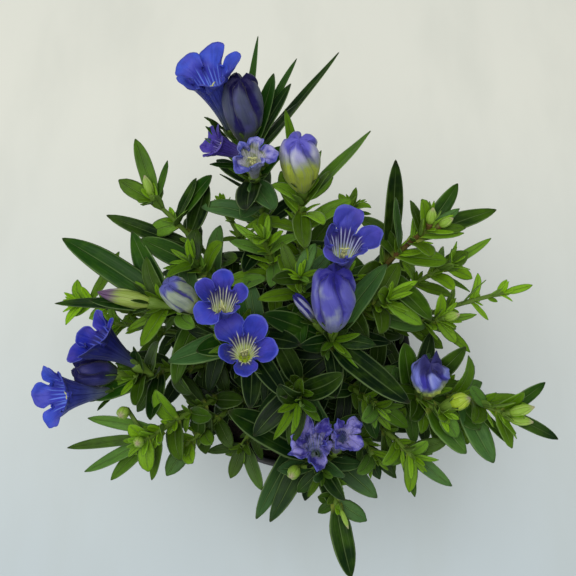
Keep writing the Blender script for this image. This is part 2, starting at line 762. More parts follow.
@dataclass(frozen=True)
class StemFinish(Finish):
    """Stem skin: yellow green with fine ridges, reddish brown where ruddy is marked."""

    name: str = "stem_skin"
    green: str = "#6f8a34"
    shaded: str = "#43601f"
    red: str = "#5c3a26"

    def build(self, board: Board) -> bpy.types.Material:
        """Lays the nodes."""
        x, y = board.surface()
        fibres = board.stretched(y, x, 22.0, 5.0)
        body = board.mix(fibres, self.shaded, self.green)
        ruddy = board.mark("ruddy") * board.noise(120.0, 2.0).rise(0.25, 0.6)
        return board.close(Base_Color=board.mix(ruddy, body, self.red), Roughness=0.5,
                           Normal=board.bump(fibres, 0.0004), Specular_IOR_Level=0.2)


@dataclass(frozen=True)
class PetalFinish(Finish):
    """Petal skin of an open flower.

    Outside, the tube goes from the colour tube to back, with dark lines. Inside it goes from throat
    over wall to limb, on which hue lies in clouds by the share wash, with pale streaks from the
    throat and dark joints between the petals. Hollows are darkened by shade, and pallor fades it.
    The map's x runs once round over five petals and y from the tube's root (0) over the mouth (0.6)
    to a petal's edge (1). Marks: inside for the inner wall and rim for the nearness to the edge.
    """

    name: str
    limb: str
    back: str
    tube: str
    line: str = "#1d1c50"
    wall: str = "#352d6c"
    streak: str = "#d6dac2"
    throat: str = "#b9cc3a"
    rim: str = "#6670c8"
    hue: str = "#4f45a6"
    pale: str = "#b9b4dc"
    wash: float = 0.5
    pallor: float = 0.0
    shade: float = 0.28

    def build(self, board: Board) -> bpy.types.Material:
        """Lays the nodes."""
        x, y = board.surface()
        inside, rim = board.mark("inside"), board.mark("rim")
        side = petal_side(x)
        fibres = board.stretched(x, y, 90.0, 3.0)
        clouds = board.noise(150.0, 3.0)
        root = board.mix(y.rise(0.1, 0.55), self.tube, self.back)
        lines = (fibres.rise(0.5, 0.68) * 0.5 + side.rise(0.86, 1.0) * 0.5) * y.rise(0.72, 0.5)
        outer = board.mix(lines, root, self.line)
        wall = board.mix(y.rise(0.34, 0.5), self.throat, self.wall)
        broad = board.noise(70.0, 2.0).rise(0.42, 0.62)
        toned = board.mix(broad * self.wash, self.limb, self.hue)
        joint = side.rise(0.62, 1.0) * y.rise(0.94, 0.64) * 0.5
        limb = board.mix(joint, board.mix(y.rise(0.54, 0.74), wall, toned), self.line)
        window = y.rise(0.15, 0.3) * y.rise(0.72, 0.6) * fibres.rise(0.25, 0.45)
        thin = (0.86 - y) * 0.45
        ray = (1 - abs(side - 0.42) / thin).rise(0.1, 0.6)
        middle = (1 - side / thin).rise(0.2, 0.7) * y.rise(0.66, 0.52)
        seam = (1 - abs(side - 0.9) / thin).rise(0.3, 0.8) * y.rise(0.62, 0.5)
        streaks = ray.math("MAXIMUM", middle * 0.8).math("MAXIMUM", seam * 0.9) * window
        lit = board.mix(streaks, limb, self.streak)
        both = board.mix(inside, outer, lit)
        hollows = (1 - clouds.rise(0.3, 0.6)) * self.shade
        shaded = board.mix(hollows, both, self.line, "MULTIPLY")
        folds = fibres.rise(0.5, 0.72) * (0.14 + y.rise(0.98, 0.66) * 0.24)
        veined = board.mix(folds, shaded, self.line)
        faded = board.mix(clouds.rise(0.42, 0.62) * self.pallor, veined, self.pale)
        edged = board.mix(rim.rise(0.9, 1.0) * 0.45, faded, self.rim)
        relief = fibres * 0.6 + side.rise(0.1, 0.0) * 0.5
        glow = board.mix(inside * y.rise(0.72, 0.5), "#000000", edged)
        return board.close(Base_Color=edged, Roughness=0.5, Normal=board.bump(relief, 0.0005, 0.6),
                           Emission_Color=glow, Emission_Strength=0.3,
                           Specular_IOR_Level=0.14, Sheen_Weight=0.06, Sheen_Roughness=0.4,
                           Subsurface_Weight=0.1, Subsurface_Radius=(0.0006, 0.0006, 0.0016),
                           Subsurface_Scale=1.0)


@dataclass(frozen=True)
class BarrelFinish(Finish):
    """Petal skin of a closed flower: pale bands over the petals' backs between dark pleats.

    Pale clouds of the colour patch lie on the bands by the share patchy. The pleats' colour starts at
    pleat_from on the way from a petal's middle (0) to its edge (1), and the root's ends at green_to.
    The map's x runs once round over five petals and y from the root to the tip.
    """

    name: str
    band: str
    pleat: str
    root: str
    tip: str
    patch: str
    patchy: float = 0.0
    pleat_from: float = 0.5
    green_to: float = 0.45

    def build(self, board: Board) -> bpy.types.Material:
        """Lays the nodes."""
        x, y = board.surface()
        side = petal_side(x)
        fibres = board.stretched(x, y, 80.0, 2.5)
        clouds = board.noise(110.0, 3.0)
        drift = board.stretched(x, y, 9.0, 2.2, 3.0)
        loose = side + (fibres - 0.5) * 0.4 + (clouds - 0.5) * 0.8 + (drift - 0.5) * 1.1
        pleats = loose.rise(self.pleat_from, self.pleat_from + 0.3)
        pale = (drift * 0.6 + clouds * 0.4).rise(0.44, 0.64) * self.patchy
        band = board.mix(pale, self.band, self.patch)
        body = board.mix(pleats, band, self.pleat)
        leafy = (y + (clouds - 0.5) * 0.5).rise(self.green_to, self.green_to - 0.33)
        rooted = board.mix(leafy, body, self.root)
        lined = board.mix(fibres.rise(0.52, 0.7) * 0.3, rooted, self.pleat)
        tipped = board.mix((y + (side - 0.5) * 0.12).rise(0.8, 0.93), lined, self.tip)
        relief = fibres * 0.7 - pleats * 0.8
        return board.close(Base_Color=tipped, Roughness=0.48, Normal=board.bump(relief, 0.0006, 0.7),
                           Specular_IOR_Level=0.18, Sheen_Weight=0.08, Sheen_Roughness=0.4)


@dataclass(frozen=True)
class BudFinish(Finish):
    """Skin of a closed green bud: pale seams, purple towards the tip."""

    name: str = "bud_skin"
    body: str = "#7f9636"
    seam: str = "#a6b46c"
    tip: str = "#5f4668"
    tip_from: float = 0.55

    def build(self, board: Board) -> bpy.types.Material:
        """Lays the nodes."""
        x, y = board.surface()
        side = petal_side(x)
        fibres = board.stretched(x, y, 60.0, 2.5)
        body = board.mix(fibres.rise(0.4, 0.7) * 0.5, self.body, self.seam)
        seamed = board.mix(side.rise(0.82, 1.0) * 0.7, body, self.seam)
        purple = (y + (fibres - 0.5) * 0.4).rise(self.tip_from, self.tip_from + 0.28)
        return board.close(Base_Color=board.mix(purple, seamed, self.tip), Roughness=0.46,
                           Normal=board.bump(fibres - side.rise(0.8, 1.0), 0.0005, 0.6),
                           Specular_IOR_Level=0.4)


@dataclass(frozen=True)
class StamenFinish(Finish):
    """Pale yellow green filaments, greyish pollen on the anthers."""

    name: str = "stamen_skin"
    thread: str = "#c8cc8a"
    pollen: str = "#8f8a86"

    def build(self, board: Board) -> bpy.types.Material:
        """Lays the nodes."""
        dust = board.noise(2600.0, 3.0)
        shade = board.mark("tone") * dust.rise(0.3, 0.6)
        return board.close(Base_Color=board.mix(shade, self.thread, self.pollen),
                           Roughness=0.75, Normal=board.bump(dust, 0.0003))


@dataclass(frozen=True)
class PotFinish(Finish):
    """Moulded black plastic: satin, with faint flow marks, dust on the lip and fine scuffs."""

    name: str = "black_plastic"
    body: str = "#101114"
    worn: str = "#3a3c42"

    def build(self, board: Board) -> bpy.types.Material:
        """Lays the nodes."""
        _, _, height = board.split(board.spot())
        grain = board.noise(1400.0, 3.0)
        flow = board.noise(16.0, 4.0)
        scuffs = board.noise(320.0, 5.0).rise(0.6, 0.72)
        dust = height.rise(0.106, 0.112) * flow.rise(0.35, 0.65)
        worn = (scuffs * 0.22 + dust * 0.3).math("MINIMUM", 1.0)
        return board.close(Base_Color=board.mix(worn, self.body, self.worn),
                           Roughness=0.3 + flow * 0.16 + scuffs * 0.2,
                           Normal=board.bump(grain * 0.4 + flow, 0.0004, 0.35),
                           Specular_IOR_Level=0.5)


@dataclass(frozen=True)
class SoilFinish(Finish):
    """Moist peat and bark: dark crumbs, browner bark chips and a few pale grains by the mark tone."""

    name: str = "peat_and_bark"
    wet: str = "#140e0a"
    ramp: tuple[tuple[float, str], ...] = (
        (0.0, "#120d0a"), (0.55, "#281d15"), (0.86, "#4a3626"), (0.95, "#8d887c"))

    def build(self, board: Board) -> bpy.types.Material:
        """Lays the nodes."""
        crumbs = board.noise(700.0, 5.0)
        tone = board.mark("tone")
        paleness = tone * 0.9 + crumbs * 0.12
        grain = board.wire("ShaderNodeValToRGB", {"stops": self.ramp}, {0: paleness})
        shaded = board.mix(crumbs.rise(0.6, 0.35) * 0.6, grain, self.wet)
        return board.close(Base_Color=shaded, Roughness=0.92, Normal=board.bump(crumbs, 0.0012))


@dataclass(frozen=True)
class FloorFinish(Finish):
    """Pale painted surface, a little warmer at the back and cooler at the front."""

    name: str = "pale_floor"
    back: str = "#e4e6dc"
    front: str = "#bccad2"
    stain: str = "#b4bab2"

    def build(self, board: Board) -> bpy.types.Material:
        """Lays the nodes."""
        spot = board.spot()
        _, north, _ = board.split(spot)
        tint = board.mix(north.rise(-0.25, 0.3), self.front, self.back)
        drawn_out = board.wire("ShaderNodeVectorMath", {"operation": "MULTIPLY"},
                               {0: spot, 1: (3.0, 1.0, 1.0)})
        clouds = board.noise(5.0, 4.0, drawn_out).rise(0.4, 0.75)
        stained = board.mix(clouds * 0.16, tint, self.stain)
        return board.close(Base_Color=stained, Roughness=0.7, Specular_IOR_Level=0.2)


PALE_LOOKS = ("faded", "lavender", "lilac", "grey_green", "striped", "ragged")

PETALS: dict[str, Finish] = {
    "azure": PetalFinish("petal_azure", "#3f54c4", "#3f48ac", "#66727e", line="#23276a", wall="#3a3fa4",
                         streak="#6680d4", throat="#76868c", rim="#363c9c"),
    "violet": PetalFinish("petal_violet", "#4144a8", "#403f9e", "#6f7092", streak="#b9bfe0"),
    "plum": PetalFinish("petal_plum", "#4a3f9e", "#4a3c98", "#5f5a86", streak="#8d87c6", hue="#54409c",
                        rim="#5c50a8"),
    "ultramarine": PetalFinish("petal_ultramarine", "#3640b0", "#343ca2", "#6b6c90"),
    "deep": PetalFinish("petal_deep", "#212b9c", "#1c216c", "#3c4464", wall="#1d1f62",
                        streak="#4a56bc", throat="#39408c"),
    "faded": PetalFinish("petal_faded", "#5f66bc", "#7880b4", "#a4b08c", wall="#77824c",
                         throat="#7f9430", streak="#b4b898", pallor=0.55, shade=0.4),
    "lavender": PetalFinish("petal_lavender", "#4542a8", "#5654ac", "#a2aab4", wall="#34385c",
                            streak="#5c60a8", throat="#465e3c", pallor=0.36, shade=0.6),
    "indigo": BarrelFinish("barrel_indigo", "#4a5068", "#241f5e", "#4f5a44", "#171344", "#5a569e", 0.6,
                           0.55),
    "lilac": BarrelFinish("barrel_lilac", "#a5a4ce", "#6764b4", "#a4b444", "#5c59b6", "#d2d8d4", 0.8,
                          0.66, 0.86),
    "violet_barrel": BarrelFinish("barrel_violet", "#5b5ab4", "#3d389a", "#7a80a4", "#2d2a86",
                                  "#a3adb4", 0.75, 0.66),
    "grey_green": BarrelFinish("barrel_grey_green", "#8c9a84", "#45428a", "#8a9a50", "#50549a",
                               "#b8c0b8", 0.6, 0.62),
    "deep_barrel": BarrelFinish("barrel_deep", "#2a2c66", "#191848", "#3c4850", "#1c1a52", "#4a447e",
                                0.5),
    "striped": BarrelFinish("barrel_striped", "#a2a6c8", "#2e2c86", "#7a8a5a", "#26247a", "#c6cad4",
                            0.6, 0.3),
    "ragged": BarrelFinish("barrel_ragged", "#6a72c0", "#3a3798", "#a6b850", "#2c2b62", "#98a2cc", 0.8,
                           0.46, 0.66),
    "green": BudFinish(),
    "bright": BudFinish("bud_skin_bright", "#8fad20", "#b0c24c", "#86688a", 0.8),
}

FRESH_BUD = BudFinish("bud_skin_fresh", "#7fa62e", "#a4bc5e", "#b3a98c", 0.74)


@dataclass
class Stem:
    """The line of a shoot: a quadratic curve from its foot over a bend to its tip."""

    plan: ShootPlan
    number: int
    foot: Array
    tip: Array
    bend: Array
    side: Array

    def point(self, t: Array | float) -> Array:
        """Places at t."""
        return quadratic(self.foot, self.bend, self.tip, np.asarray(t, float)[..., None])

    def along(self, t: Array | float) -> Array:
        """Directions at t."""
        return quadratic_run(self.foot, self.bend, self.tip, np.asarray(t, float)[..., None])

    def nearest(self, place: Array) -> Array:
        """The point of the stem's upper third that lies nearest to a place."""
        line = self.point(np.linspace(0.7, 1.0, 31))
        return line[np.argmin(np.linalg.norm(line - place, axis=1))]


class Crown:
    """All stems, with their feet pushed apart in the crown.

    A foot starts at a share of its tip's distance from the axis, and the stem's bend lies at a share
    of the way out (lean) and of the way up (climb).
    """

    soil_top = 100.0
    share = 0.24
    spacing = 6.5
    rounds = 80
    lean = 0.35
    climb = 0.75

    def grow(self, plans: tuple[ShootPlan, ...]) -> list[Stem]:
        """Places every stem.

        Args:
            plans: the shoots.

        Returns:
            One stem for each plan.
        """
        tips = [heading(plan.bearing, 0) * plan.reach + UP * plan.height for plan in plans]
        feet = [np.array([tip[0] * self.share, tip[1] * self.share, self.soil_top]) for tip in tips]
        for _ in range(self.rounds):
            for i, near in enumerate(feet):
                for far in feet[i + 1:]:
                    self._push(near, far)
        rows = enumerate(zip(plans, feet, tips))
        return [self._stem(plan, number, foot, tip) for number, (plan, foot, tip) in rows]

    def _push(self, a: Array, b: Array) -> None:
        """Moves two feet that stand too close apart by half of what is missing each."""
        gap = b[:2] - a[:2]
        apart = math.hypot(*gap)
        if apart < self.spacing:
            step = gap * ((self.spacing - apart) / 2 / apart)
            a[:2] -= step
            b[:2] += step

    def _stem(self, plan: ShootPlan, number: int, foot: Array, tip: Array) -> Stem:
        """A stem from foot to tip that climbs first and then leans out."""
        rise = tip - foot
        bend = foot + self.lean * rise
        bend[2] = self.soil_top + self.climb * rise[2]
        return Stem(plan, number, foot, tip, bend, unit(np.cross(rise, UP)))


@dataclass
class Blades:
    """Leaves, one a row: quadratic curves from base over middle to tip, with width and looks."""

    base: Array
    middle: Array
    tip: Array
    along: Array
    width: Array
    roll: Array
    young: Array
    tone: Array

    face_up = 0.7
    tip_from = 0.48
    root_to = 0.35
    probe_places = (0.35, 0.6, 0.85)
    probe_reach = 0.6

    @classmethod
    def of(cls, rows: list["Blades"]) -> "Blades":
        """Several sets as one."""
        names = cls.__dataclass_fields__
        return cls(*(np.concatenate([getattr(row, name) for row in rows]) for name in names))

    def pick(self, index: int) -> "Blades":
        """One leaf as a set."""
        names = self.__dataclass_fields__
        return Blades(*(getattr(self, name)[index:index + 1] for name in names))

    def at(self, u: Array) -> Array:
        """Midrib points (leaves, places, 3) at u from base to tip."""
        return quadratic(*self._ends(), u[None, :, None])

    def _ends(self) -> tuple[Array, Array, Array]:
        """Base, middle and tip, each (leaves, 1, 3)."""
        return self.base[:, None], self.middle[:, None], self.tip[:, None]

    def axes(self, u: Array) -> tuple[Array, Array]:
        """Across and face directions at u.

        The face looks partly along the stem and partly up, then turns by the roll about the midrib.

        Args:
            u: places from base to tip.

        Returns:
            Unit vectors (leaves, places, 3) across the leaf and out of its upper face.
        """
        run = quadratic_run(*self._ends(), u[None, :, None])
        along = self.along[:, None]
        inward = unit(along - run * (run * along).sum(-1, keepdims=True))
        upward = UP - run * run[..., 2:]
        face = unit(inward * (1 - self.face_up) + upward * self.face_up)
        across = np.cross(run, face)
        roll = self.roll[:, None, None]
        turned = across * np.cos(roll) + face * np.sin(roll)
        return turned, -np.cross(run, turned)

    def half_width(self, u: Array) -> Array:
        """Half width at u: half as wide at the clasping base, then nearly parallel, then a blunt tip.

        With v = (u - 0.48)/0.52 the tip falls as (1 - v^2.3)^0.72.
        """
        root = 0.5 + 0.5 * smooth(u, 0, self.root_to)
        tip = (1 - np.maximum(0, (u - self.tip_from) / (1 - self.tip_from)) ** 2.3) ** 0.72
        return (root * tip)[None] * self.width[:, None] / 2

    def probes(self) -> Array:
        """Points (leaves, 9, 3) that stand for a leaf where room is looked for."""
        u = np.array(self.probe_places)
        points = self.at(u)
        reach = self.axes(u)[0] * self.half_width(u)[..., None] * self.probe_reach
        return np.concatenate([points + reach, points - reach, points], axis=1)


class Foliage:
    """Grows every leaf of every shoot: the large ones, ordinary pairs, and small leaves at tips.

    A leaf that finds no room is tried again by trials: so far round the stem, at that size. The tip
    pairs are (place on the stem, degrees out from it, share of an ordinary leaf).
    """

    trials = ((0, 1), (22, 1), (-22, 1), (45, 0.9), (-45, 0.9), (0, 0.7), (35, 0.7), (-35, 0.7))
    tip_pairs = ((0.93, 42, 0.7), (0.97, 32, 0.55), (0.995, 20, 0.42))
    clearance = 2.0
    stem_clearance = 2.2
    flower_clearance = 0.8
    open_mouth = 5.0
    small_slack = 0.45
    least_width = 2.2

    def __init__(self, stems: list[Stem], flowers: tuple[FlowerPlan, ...]) -> None:
        """Takes the room of stems and flowers."""
        self.stems = stems
        self.leaves: dict[str, list[Blades]] = {stem.plan.name: [] for stem in stems}
        rooms = [room for flower in flowers for room in self._flower_room(flower)]
        self.room_at = np.array([place for place, _ in rooms])
        self.room_radius = np.array([radius for _, radius in rooms]) + self.flower_clearance
        places = np.array([0.3, 0.4, 0.5, 0.6, 0.7, 0.8, 0.9, 1.0])
        self.taken = np.concatenate([stem.point(places) for stem in stems])
        self.reach = np.full(len(self.taken), self.stem_clearance)

    def _flower_room(self, flower: FlowerPlan) -> list[tuple[Array, float]]:
        """Spheres along a flower's axis, and a wider one at the mouth of an open one."""
        axis = flower.axis()
        rooms = [(axis.base + axis.along * share * flower.length,
                  2.5 + flower.radius * max(0.0, min(1.0, share * 1.3)))
                 for share in (-0.2, 0, 0.2, 0.4, 0.6, 0.8, 1)]
        if flower.kind is Kind.OPEN:
            mouth = axis.base + axis.along * (flower.length + 2)
            rooms.append((mouth, flower.radius + self.open_mouth))
        return rooms

    def _fits(self, probes: Array, slack: float) -> bool:
        """Whether a leaf's probes keep clear of flowers, stems and other leaves."""
        apart = np.linalg.norm(probes[:, None] - self.room_at[None], axis=-1)
        if (apart < self.room_radius[None] * slack).any():
            return False
        apart = np.linalg.norm(probes[:, None] - self.taken[None], axis=-1)
        return not (apart < self.reach[None] * slack).any()

    def _keep(self, stem: Stem, leaf: Blades) -> None:
        """Adds one leaf and takes its room."""
        self.leaves[stem.plan.name].append(leaf)
        probes = leaf.probes()[0]
        self.taken = np.concatenate([self.taken, probes])
        self.reach = np.concatenate([self.reach, np.full(len(probes), self.clearance)])

    def grow(self) -> dict[str, list[Blades]]:
        """Grows all leaves.

        Returns:
            For each shoot, its leaves.
        """
        for stem in self.stems:
            for index, blade in enumerate(stem.plan.blades):
                self._keep(stem, self._picked(stem, index, blade))
        for stem in self.stems:
            draw = Draw(1000 + 77 * stem.number)
            for pair in range(stem.plan.pairs):
                for half in (0, 180):
                    self._try(stem, self._ordinary(stem, pair, half, draw), 1.0)
        for stem in self.stems:
            draw = Draw(5000 + 91 * stem.number)
            for tuft in self._tufts(stem, draw):
                self._try(stem, tuft, self.small_slack)
        return self.leaves

    def _try(self, stem: Stem, choices: Blades, slack: float) -> None:
        """Keeps the first of the choices that fits."""
        for index, places in enumerate(choices.probes()):
            if self._fits(places, slack):
                self._keep(stem, choices.pick(index))
                return

    def _picked(self, stem: Stem, index: int, blade: tuple[float, ...]) -> Blades:
        """A large leaf that shows. Its midrib sags sideways, every other leaf's to the other side.

        Args:
            stem: the stem that carries it.
            index: its number on the stem.
            blade: its place, bearing, pitch, length and width.

        Returns:
            The leaf.
        """
        t, bearing, pitch, length, width = blade
        base, along = stem.point(t), stem.along(t)
        tip = base + heading(bearing, pitch) * length
        middle = (base + tip) / 2 + unit(along + UP) * length * 0.01
        aside = unit(np.cross(tip - base, UP))
        middle += aside * length * (0.03 if index % 2 == 0 else -0.03)
        draw = Draw(9000 + 131 * stem.number + index)
        draw()
        young = np.array([stem.plan.young * 0.6 + draw.near(0, 0.1)])
        return Blades(base[None], middle[None], tip[None], along[None], np.array([width], float),
                      np.zeros(1), young, np.array([draw()]))

    def _ordinary(self, stem: Stem, pair: int, half: float, draw: Draw) -> Blades:
        """One leaf of an ordinary pair. Pairs stand square to each other and are largest half way up.

        Args:
            stem: the stem that carries it.
            pair: the pair's number from below.
            half: 0 or 180, the side of the stem.
            draw: the stem's draws.

        Returns:
            The leaf, once for each trial.
        """
        plan = stem.plan
        share = pair / (plan.pairs - 1)
        grown = 0.62 + 0.5 * math.sin(math.pi * (0.15 + 0.8 * share))
        t = plan.first * (1 - share) + LAST_PAIR * share
        angle = plan.turn + 90 * pair + half + draw.near(0, 12)
        length = plan.leaf * grown * (0.9 + 0.2 * draw())
        width = plan.width * (0.85 + 0.15 * grown) * (0.9 + 0.2 * draw())
        spread = 75 - 30 * share + draw.near(0, 8)
        curl = 18 + 14 * draw()
        droop = 0.06 + 0.08 * draw()
        roll = draw.near(0, 0.3)
        sweep = draw.near(0, 0.12)
        young = plan.young * (0.45 + 0.6 * share) + 0.12 * math.sin(7.0 * angle)
        turns, sizes = np.array(self.trials, float).T
        shape = (length * sizes, width * sizes, spread, curl, droop, roll, sweep)
        return self._ruled(stem, t, angle + turns, shape, young, (math.sin(13.0 * angle) + 1) / 2)

    def _ruled(self, stem: Stem, t: float, turns: Array, shape: tuple, young: float,
               tone: float) -> Blades:
        """Leaves that leave the stem at turns round it and bend away by spread and curl.

        Args:
            stem: the stem that carries them.
            t: the place on it.
            turns: the angles round the stem.
            shape: lengths, widths, spread, curl, droop, roll and sideways sweep.
            young: how fresh they are.
            tone: how light a grown leaf is.

        Returns:
            One leaf for each turn.
        """
        lengths, widths, spread, curl, droop, roll, sweep = shape
        count = len(turns)
        along = np.repeat(stem.along(t)[None], count, 0)
        over = np.cross(stem.side, along)
        a = np.radians(turns)[:, None]
        out = stem.side * np.cos(a) + over * np.sin(a)
        base = np.repeat(stem.point(t)[None], count, 0)

        def leads(degrees: float) -> Array:
            """The direction that lies so many degrees out from the stem."""
            s = math.radians(degrees)
            return along * math.cos(s) + out * math.sin(s)

        half = lengths[:, None] / 2
        middle = base + leads(spread) * half
        tip = middle + leads(spread + curl) * half
        tip[:, 2] -= droop * lengths
        chord = tip - base
        middle += unit(np.cross(chord, UP)) * sweep * np.linalg.norm(chord, axis=1, keepdims=True)
        same = np.ones(count)
        return Blades(base, middle, tip, along, widths, roll * same, young * same, tone * same)

    def _tufts(self, stem: Stem, draw: Draw) -> list[Blades]:
        """Small young leaves: tight pairs at the tip and pairs in the axils of the upper leaves.

        Args:
            stem: the stem that carries them.
            draw: its draws.

        Returns:
            The leaves, each once for every turn that it may take.
        """
        plan = stem.plan
        tufts = []
        for pair, (t, spread, share) in enumerate(self.tip_pairs):
            for half in (0, 180):
                turns = plan.turn + 45 + 90 * pair + half + np.array([draw.near(0, 12), 30, -30])
                length = plan.leaf * share * draw.near(1, 0.15)
                width = max(self.least_width, plan.width * share * 0.75)
                tufts.append(self._small(stem, t, turns, length, width, spread, draw))
        for pair in range(1, plan.pairs):
            t = plan.first + (LAST_PAIR - plan.first) * (pair + 0.12) / (plan.pairs - 1)
            if t > 0.99:
                continue
            for half in (0, 90, 180, 270):
                turns = plan.turn + 90 * pair + half + np.array([draw.near(20, 20), -35, 55])
                length = plan.leaf * draw.near(0.42, 0.12)
                width = max(self.least_width, plan.width * 0.38 * draw.near(1, 0.2))
                tufts.append(self._small(stem, t, turns, length, width, draw.near(38, 12), draw))
        return tufts

    def _small(self, stem: Stem, t: float, turns: Array, length: float, width: float, spread: float,
               draw: Draw) -> Blades:
        """A young leaf, once for each turn round the stem that it may take."""
        same = np.ones(len(turns))
        shape = (length * same, width * same, spread, draw.near(10, 8), 0.03, draw.near(0, 0.3),
                 draw.near(0, 0.1))
        young = min(1.0, stem.plan.young * 0.8 + 0.25 + draw.near(0, 0.15))
        return self._ruled(stem, t, turns, shape, young, draw())


class LeafBuilder:
    """Turns leaves into closed thin skins with a fold along the midrib.

    Long and short leaves have so many rings, and so many places to each side of the midrib.
    """

    long_leaf = 24.0
    long_grid = (14, 4)
    short_grid = (8, 2)
    thickness = 0.5
    crowding = 0.45
    last_ring = 0.985

    def skins(self, leaves: Blades) -> list[Skin]:
        """Skins of all leaves.

        Args:
            leaves: the leaves.

        Returns:
            One skin for the long leaves and one for the short ones, where there are any.
        """
        long = np.linalg.norm(leaves.tip - leaves.base, axis=1) > self.long_leaf
        made = []
        for chosen, places in ((long, self.long_grid), (~long, self.short_grid)):
            index = np.flatnonzero(chosen)
            if len(index):
                made.append(self._skin(Blades.of([leaves.pick(i) for i in index]), *places))
        return made

    def _skin(self, leaves: Blades, rings: int, halves: int) -> Skin:
        """Rings from root to tip, each going over the upper face and back under it.

        The places across are x = |e|^0.45 with the sign of e, for even steps e from -1 to 1, so that
        they crowd at the margins. The upper face stands at fold |x| - 0.5 fold |x|^3 of the half
        width, so the two halves rise from the midrib and their margins roll back. The under face lies
        a thickness below, which thins to the margin as 1 - |x|^4. The margins wave a little, and the
        blade turns about its midrib by up to half a radian from root to tip.

        Args:
            leaves: the leaves.
            rings: how many rings each has.
            halves: how many steps there are from the midrib to a margin.

        Returns:
            Their skin.
        """
        u = np.linspace(0.0, self.last_ring, rings) ** 0.9
        even = np.linspace(-1, 1, 2 * halves + 1)
        sweep = np.sign(even) * np.abs(even) ** self.crowding
        x = np.concatenate([sweep, sweep[-2:0:-1]])
        upper = np.concatenate([np.ones(2 * halves + 1), -np.ones(2 * halves - 1)])
        across, face = leaves.axes(u)
        twist = (0.5 * np.sin(23 * leaves.tone + 5 * leaves.width)[:, None] * u[None])[..., None]
        across, face = (across * np.cos(twist) + face * np.sin(twist),
                        face * np.cos(twist) - across * np.sin(twist))
        half = leaves.half_width(u)[..., None]
        fold = 0.58 - 0.3 * u[None, :, None]
        lift = fold * (np.abs(x) - 0.5 * np.abs(x) ** 3) * half
        wave = np.sin(9 * u[None, :, None] + 11 * leaves.tone[:, None, None]) * x ** 2 * half * 0.06
        body = upper * (1 - x ** 4) * self.thickness / 2
        height = lift + wave + body - fold * 0.25 * half
        points = (leaves.at(u)[:, :, None] + across[:, :, None] * (half * x)[..., None]
                  + face[:, :, None] * height[..., None])
        marks = {"young": leaves.young[:, None, None], "tone": leaves.tone[:, None, None],
                 "under": (upper < 0).astype(float)}
        poles = np.stack([leaves.base, leaves.tip], axis=1)
        return Skin(points, grid(u, (np.append(x, x[0]) + 1) / 2), marks, poles)


def tube(line: Array, radii: Array, sides: int,
         marks: dict[str, "float | Array"] | None = None) -> Skin:
    """A round tube along a line.

    At each place the ring lies square to the line: centre + radius (cos a side + sin a over).

    Args:
        line: points (places, 3).
        radii: the radius at each.
        sides: how many places a ring has.
        marks: numbers for the tube or its points, by name.

    Returns:
        The closed skin, with x along and y round it.
    """
    run = unit(np.gradient(line, axis=0))
    reference = UP if abs(run[:, 2]).mean() < 0.8 else np.array([1.0, 0.0, 0.0])
    side = unit(np.cross(run, reference))
    over = np.cross(side, run)
    a = np.linspace(0, 2 * np.pi, sides, endpoint=False)[None, :, None]
    ring = side[:, None] * np.cos(a) + over[:, None] * np.sin(a)
    points = line[:, None] + ring * radii[:, None, None]
    places = grid(np.linspace(0, 1, len(line)), np.linspace(0, 1, sides + 1))
    return Skin(points[None], places, dict(marks or {}))


